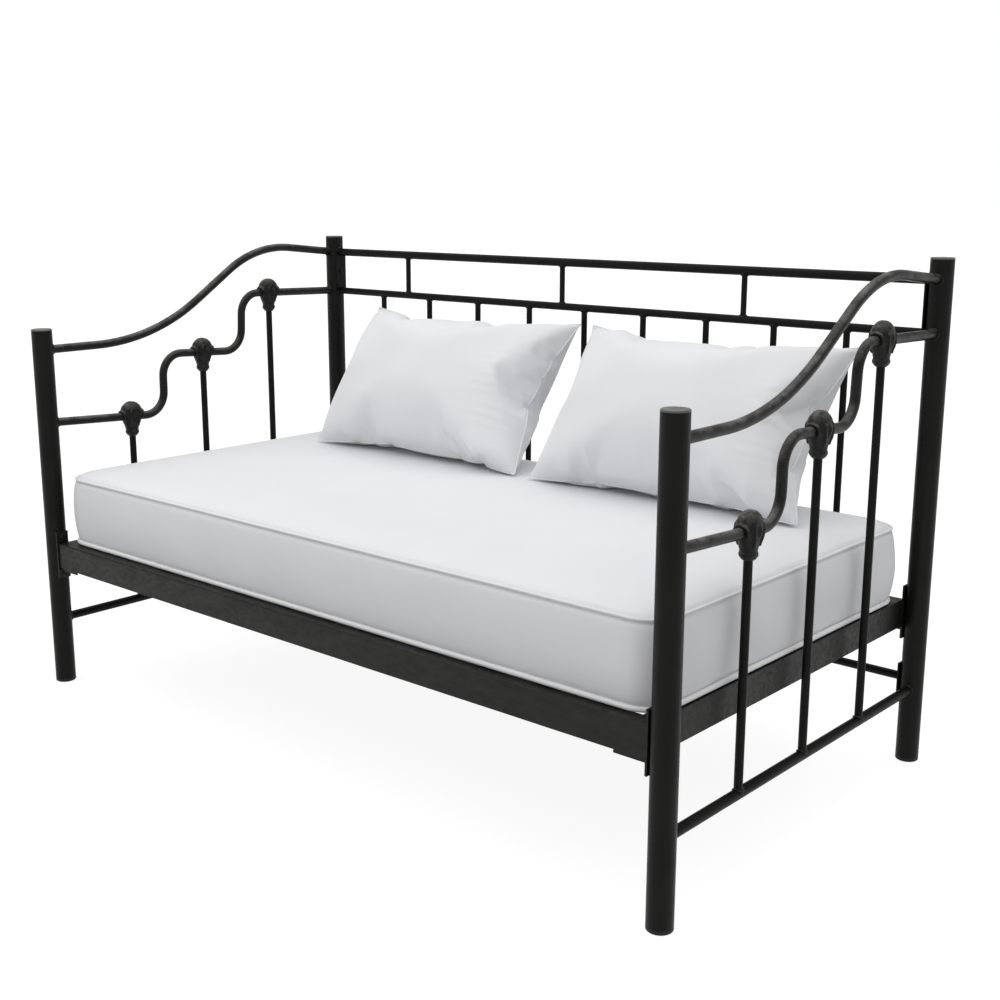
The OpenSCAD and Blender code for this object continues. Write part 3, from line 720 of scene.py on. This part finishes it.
def side_fold(x, y, t):
    """Soft upright folds of the border, deepest on the right end."""
    around = math.atan2(y / MATTRESS_HALF_Y, x / MATTRESS_HALF_X)
    run = Vector((x * 5.5, y * 8.0, t * 0.9)) + MATTRESS_SEED
    depth = 0.0032 + 0.0072 * smoothstep(0.6, 1.0, x / MATTRESS_HALF_X)
    return noise.noise(run) * depth * math.sin(math.pi * min(1, 0.15 + t)) + 0.0004 * math.sin(9 * around)


def crown(inset):
    """Rise of the mattress's top above its seam."""
    return sum(rise * (1 - math.exp(-inset / width)) for rise, width in (EDGE_CROWN, BROAD_CROWN))


def tuck(distance):
    """How far the cover is drawn in beside a piping, by distance from the seam."""
    return TUCK_DEPTH * math.exp(-((distance - TUCK_MIDDLE) / TUCK_WIDTH) ** 2)


def mattress_top_z(x, y, inset):
    seam = MATTRESS_HIGH.z - TOP_SEAM_DROP - tuck(inset)
    spot = Vector((x * 3.2, y * 3.2, 0)) + MATTRESS_SEED
    fade = smoothstep(0.0, 0.12, inset)
    wave = noise.noise(spot) * 0.0022 + noise.noise(spot * 3.1) * 0.0007
    return seam + crown(inset) + wave * fade


def mattress_cover():
    xs = spaced(MATTRESS_HALF_X, EDGE_STEPS, MATTRESS_PITCH)
    ys = spaced(MATTRESS_HALF_Y, EDGE_STEPS, MATTRESS_PITCH)
    belly = tuple(0.2 + 0.6 * k / 8 for k in range(9))
    levels = SIDE_RIMS + belly + tuple(1 - t for t in reversed(SIDE_RIMS))
    top = len(levels) - 1
    seam_z = MATTRESS_HIGH.z - TOP_SEAM_DROP
    foot_z = MATTRESS_LOW.z + FOOT_SEAM_RISE
    bm = bmesh.new()
    found = {}

    def vertex(i, j, k):
        if (i, j, k) in found:
            return found[i, j, k]
        x, y = rounded_corner(xs[i], ys[j])
        inset, out = edge_distance(x, y)
        rim = i in (0, len(xs) - 1) or j in (0, len(ys) - 1)
        if rim:
            t = levels[k]
            rise = (seam_z - foot_z) * t
            bulge = SIDE_BULGE * max(0, math.sin(math.pi * t)) ** 0.7 + side_fold(x, y, t)
            bulge -= tuck(rise) + tuck(seam_z - foot_z - rise)
            place = Vector((x, y, foot_z + rise)) + out * (bulge if 0 < k < top else 0)
        elif k:
            place = Vector((x, y, mattress_top_z(x, y, inset)))
        else:
            fall = math.exp(-inset / 0.006)
            place = Vector((x, y, MATTRESS_LOW.z + 0.0006 + (FOOT_SEAM_RISE - 0.001) * fall))
        found[i, j, k] = bm.verts.new(place + Vector((0, MATTRESS_MIDDLE_Y, 0)))
        return found[i, j, k]

    nx, ny = len(xs) - 1, len(ys) - 1
    for i in range(nx):
        for j in range(ny):
            bm.faces.new([vertex(*p, top) for p in ((i, j), (i + 1, j), (i + 1, j + 1), (i, j + 1))])
            bm.faces.new([vertex(*p, 0) for p in ((i, j), (i, j + 1), (i + 1, j + 1), (i + 1, j))])
    for k in range(top):
        walls = [((i, j), (i + 1, j)) for i in range(nx) for j in (0, ny)]
        walls += [((i, j), (i, j + 1)) for j in range(ny) for i in (0, nx)]
        for a, b in walls:
            bm.faces.new([vertex(*a, k), vertex(*b, k), vertex(*b, k + 1), vertex(*a, k + 1)])
    cover = mesh_piece(
        "mattress_cover", bm, "mattress", "mattress", "mattress_fabric", "mattress", subdivide=1)


def mattress_outline(out):
    """Points round the mattress's plan, moved outwards by out."""
    core_x, core_y = MATTRESS_HALF_X - MATTRESS_CORNER, MATTRESS_HALF_Y - MATTRESS_CORNER
    points = []
    for sx, sy, start in ((1, 1, 0), (-1, 1, 90), (-1, -1, 180), (1, -1, 270)):
        for k in range(13):
            a = math.radians(start + 90 * k / 12)
            r = MATTRESS_CORNER + out
            points.append(Vector((sx * core_x + r * math.cos(a), sy * core_y + r * math.sin(a), 0)))
    dense = []
    for a, b in zip(points, points[1:] + points[:1]):
        steps = max(1, round((b - a).length / 0.03))
        dense += [a.lerp(b, k / steps) for k in range(steps)]
    return dense


def mattress_piping(name, look, z, radius, out, wander):
    bm = bmesh.new()
    path = []
    for p in mattress_outline(out):
        spot = Vector((p.x * 4, p.y * 4, z)) + MATTRESS_SEED
        path.append(p + Vector((0, MATTRESS_MIDDLE_Y, z + wander * noise.noise(spot))))
    sweep(bm, path, radius, 10, closed=True)
    mesh_piece(name, bm, look, "mattress", "mattress_fabric")


# ---- pillows ---------------------------------------------------------------

PILLOW_SHEET = (0.80, 0.500)
PILLOW_CELLS = (112, 70)
PILLOW_LEAN = math.radians(35)
PILLOW_STEPS = 24
PILLOW_PRESSURE = 4
PILLOW_IRONINGS = 10
# Clear of the CAD pillow's lowest, highest and rearmost planes
PILLOW_FOOT_CLEAR = 0.004
PILLOW_TOP_CLEAR = 0.005
PILLOW_BACK_CLEAR = 0.007
PILLOW_SLOPE_TRIM = 0.008
PILLOW_LAY = 0.0008
PILLOW_SEAM_R = 0.0022


def pillow_sheets(seed):
    """Two sheets sewn at the rim, a little apart in the middle. Gives the mesh and its rim, in order."""
    across, up = PILLOW_CELLS
    bm = bmesh.new()

    def point(i, j, face):
        u, v = 2 * i / across - 1, 2 * j / up - 1
        gap = 0.022 * (1 - u * u) * (1 - v * v)
        drift = noise.noise(Vector((u * 4.5 + seed, v * 3.0, face * 3.3)))
        wrinkle = drift * 0.004 * (1 - u ** 8) * (1 - v ** 8)
        return (PILLOW_SHEET[0] / 2 * u, PILLOW_SHEET[1] / 2 * v, face * (gap + 0.002) + wrinkle)

    sheets = {}
    for face in (1, -1):
        for i in range(across + 1):
            for j in range(up + 1):
                rim = i in (0, across) or j in (0, up)
                if rim and face == -1:
                    sheets[i, j, face] = sheets[i, j, 1]
                    continue
                x, y, z = point(i, j, face)
                sheets[i, j, face] = bm.verts.new((x, y, 0 if rim else z))
    for i in range(across):
        for j in range(up):
            corners = ((i, j), (i + 1, j), (i + 1, j + 1), (i, j + 1))
            bm.faces.new([sheets[p + (1,)] for p in corners])
            bm.faces.new([sheets[p + (-1,)] for p in reversed(corners)])
    bm.verts.index_update()
    loop = ([(i, 0) for i in range(across)] + [(across, j) for j in range(up)]
            + [(i, up) for i in range(across, 0, -1)] + [(0, j) for j in range(up, 0, -1)])
    return bm, [sheets[p + (1,)].index for p in loop]


def inflate(obj, steps, pressure):
    """Fills a closed cloth shape with air and keeps the result as its mesh."""
    cloth = obj.modifiers.new("cloth", "CLOTH")
    settings = cloth.settings
    settings.quality = 6
    settings.mass = 0.15
    settings.tension_stiffness = 18
    settings.compression_stiffness = 18
    settings.shear_stiffness = 6
    settings.bending_stiffness = 1.2
    settings.air_damping = 1.5
    settings.use_pressure = True
    settings.uniform_pressure_force = pressure
    settings.effector_weights.gravity = 0
    cloth.collision_settings.use_collision = False
    cloth.point_cache.frame_start = 1
    cloth.point_cache.frame_end = steps
    for frame_number in range(1, steps + 1):
        bpy.context.scene.frame_set(frame_number)
    bm = baked(obj)
    bpy.context.scene.frame_set(1)
    return bm


def straighten(bm, seam, way, share, reach):
    """Moves the sheets so that the lower (way -1) or upper (way 1) seam loses a share of its curve."""
    line = sorted((bm.verts[i].co.x, way * bm.verts[i].co.y) for i in seam)
    xs, ys = [p[0] for p in line], [p[1] for p in line]
    end = max(ys)
    for v in bm.verts:
        dip = end - float(np.interp(v.co.x, xs, ys))
        v.co.y += way * share * dip * smoothstep(end - reach, end, way * v.co.y)


def relax(bm, seam, rounds):
    """Irons the sheets, least of all near the right seam, where the gathers stay."""
    bm.verts.ensure_lookup_table()
    right = max(v.co.x for v in bm.verts)
    for _ in range(rounds):
        goals = []
        for v in bm.verts:
            around = [e.other_vert(v).co for e in v.link_edges]
            goals.append(sum(around, Vector()) / len(around))
        for v, goal in zip(bm.verts, goals):
            if v.index in seam:
                continue
            near = smoothstep(right - 0.30, right - 0.12, v.co.x)
            v.co = v.co.lerp(goal, 0.5 * (1 - 0.8 * near))


def gather(bm, seam, width, height):
    """Short folds that run in from the right seam, strongest a third of the way up."""
    for v in bm.verts:
        if v.index in seam:
            continue
        run, rise = width / 2 - v.co.x, v.co.y / height + 0.5
        if run > 0.34:
            continue
        drift = noise.noise(Vector((v.co.x * 9, v.co.y * 5, 2.7 * math.copysign(1, v.co.z))))
        fold = math.sin(v.co.y * 150 + 3.4 * drift + 14 * run) + 0.6 * math.sin(v.co.y * 83 - 9 * run + 2)
        place = math.exp(-((run - 0.075) / 0.085) ** 2) * math.exp(-((rise - 0.36) / 0.25) ** 2)
        v.co.z += math.copysign(0.0032 * fold * place * (0.6 + drift), v.co.z)


def settle(bm, rim):
    """Scales the filled pillow to the CAD pillow's size, straightens its long seams and adds the gathers."""
    bm.verts.ensure_lookup_table()
    width = size("pillow_left").x
    height = (size("pillow_left").z - PILLOW_SLOPE_TRIM) / math.cos(PILLOW_LEAN)
    xs = [v.co.x for v in bm.verts]
    ys = [v.co.y for v in bm.verts]
    grow_x = width / (max(xs) - min(xs))
    grow_y = height / (max(ys) - min(ys))
    for v in bm.verts:
        v.co.x *= grow_x
        v.co.y *= grow_y
    across, up = PILLOW_CELLS
    straighten(bm, rim[:across + 1], -1, 0.9, 0.5 * height)
    straighten(bm, rim[across + up:2 * across + up + 1], 1, 0.5, 0.5 * height)
    gather(bm, set(rim), width, height)
    lift = -min(v.co.y for v in bm.verts)
    for v in bm.verts:
        v.co.y += lift


def make_pillow(side, seed):
    node = "pillow_" + side
    bm, rim = pillow_sheets(seed)
    bm = inflate(new_object(node + "_sheets", bm), PILLOW_STEPS, PILLOW_PRESSURE)
    relax(bm, set(rim), PILLOW_IRONINGS)
    settle(bm, rim)
    low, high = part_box(node)
    foot_z = low.z + PILLOW_FOOT_CLEAR
    rise = high.z - PILLOW_TOP_CLEAR - foot_z
    foot_y = high.y - PILLOW_BACK_CLEAR - rise * math.tan(PILLOW_LEAN)
    slope = Matrix((
        (1, 0, 0, (low.x + high.x) / 2),
        (0, math.sin(PILLOW_LEAN), -math.cos(PILLOW_LEAN), foot_y),
        (0, math.cos(PILLOW_LEAN), math.sin(PILLOW_LEAN), foot_z),
        (0, 0, 0, 1)))
    bm.transform(slope)
    floor_z = low.z + PILLOW_LAY
    for v in bm.verts:
        if v.co.z < floor_z:
            v.co.z = floor_z
    bm.verts.ensure_lookup_table()
    seam = [bm.verts[i].co.copy() for i in rim]
    cover = mesh_piece(node + "_cover", bm, "pillow", node, "pillow_fabric", node, subdivide=1)
    bm = bmesh.new()
    sweep(bm, [p + Vector((0, 0, 0.0006)) for p in seam], PILLOW_SEAM_R, 8, closed=True, up=(0, -0.8, 0.6))
    mesh_piece(node + "_seam", bm, "pillow", node, "pillow_fabric")


# ---- build -----------------------------------------------------------------

make_camera()
make_floor()
make_lights()
paint_cad()
make_castings()
for side in SIDES:
    end_welds(side)
back_welds()
make_front_rail()
mattress_cover()
mattress_piping("mattress_piping_top", "mattress", MATTRESS_HIGH.z - TOP_SEAM_DROP,
                radius=0.003, out=0, wander=0.0006)
mattress_piping("mattress_piping_foot", "piping", MATTRESS_LOW.z + FOOT_SEAM_RISE,
                radius=0.006, out=0.001, wander=0.0004)
make_pillow("left", 0.0)
make_pillow("right", 5.7)



bpy.context.view_layer.update()
